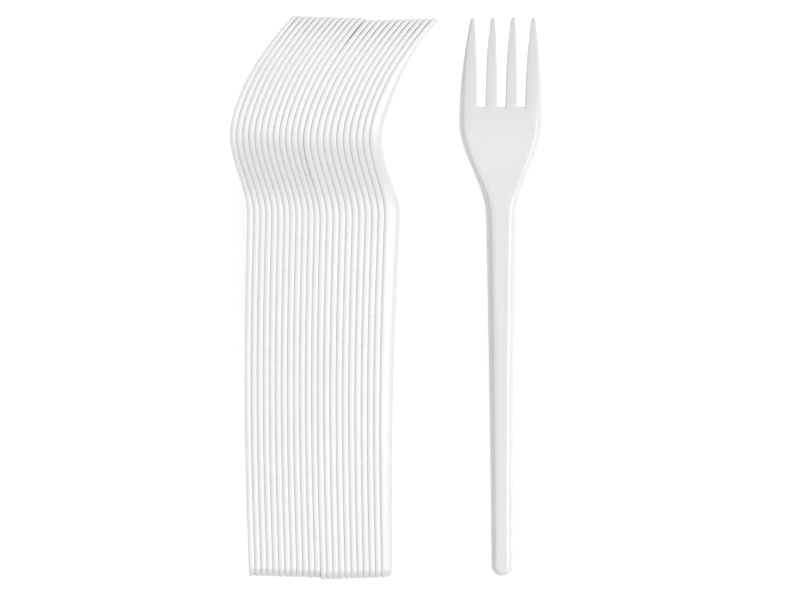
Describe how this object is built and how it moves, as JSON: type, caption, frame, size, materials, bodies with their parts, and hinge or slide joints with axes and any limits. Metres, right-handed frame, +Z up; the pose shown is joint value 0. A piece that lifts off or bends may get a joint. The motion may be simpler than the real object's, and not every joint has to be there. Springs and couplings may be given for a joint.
{
  "type": "plastic cutlery pack",
  "caption": "Disposable white plastic forks, nested into a stack that lies on its long side, with a loose fork lying face up beside it.",
  "frame": {"origin": "centre of the pack's footprint, on the surface that the forks lie on", "axes": "+Y along the forks from handle to tines, +X from the back of the stack towards the loose fork, +Z up"},
  "size_m": [0.0914, 0.1664, 0.0252],
  "materials": {
    "white_polystyrene": "injection-moulded white polystyrene, satin to gloss, with no print"
  },
  "bodies": {
    "root": {"stack_fork_01": "white_polystyrene", "stack_fork_02": "white_polystyrene", "stack_fork_03": "white_polystyrene", "stack_fork_04": "white_polystyrene", "stack_fork_05": "white_polystyrene", "stack_fork_06": "white_polystyrene", "stack_fork_07": "white_polystyrene", "stack_fork_08": "white_polystyrene", "stack_fork_09": "white_polystyrene", "stack_fork_10": "white_polystyrene", "stack_fork_11": "white_polystyrene", "stack_fork_12": "white_polystyrene", "stack_fork_13": "white_polystyrene", "stack_fork_14": "white_polystyrene", "stack_fork_15": "white_polystyrene", "stack_fork_16": "white_polystyrene", "stack_fork_17": "white_polystyrene", "stack_fork_18": "white_polystyrene", "stack_fork_19": "white_polystyrene", "stack_fork_20": "white_polystyrene", "stack_fork_21": "white_polystyrene", "stack_fork_22": "white_polystyrene", "stack_fork_23": "white_polystyrene", "single_fork": "white_polystyrene"}
  },
  "joints": []
}
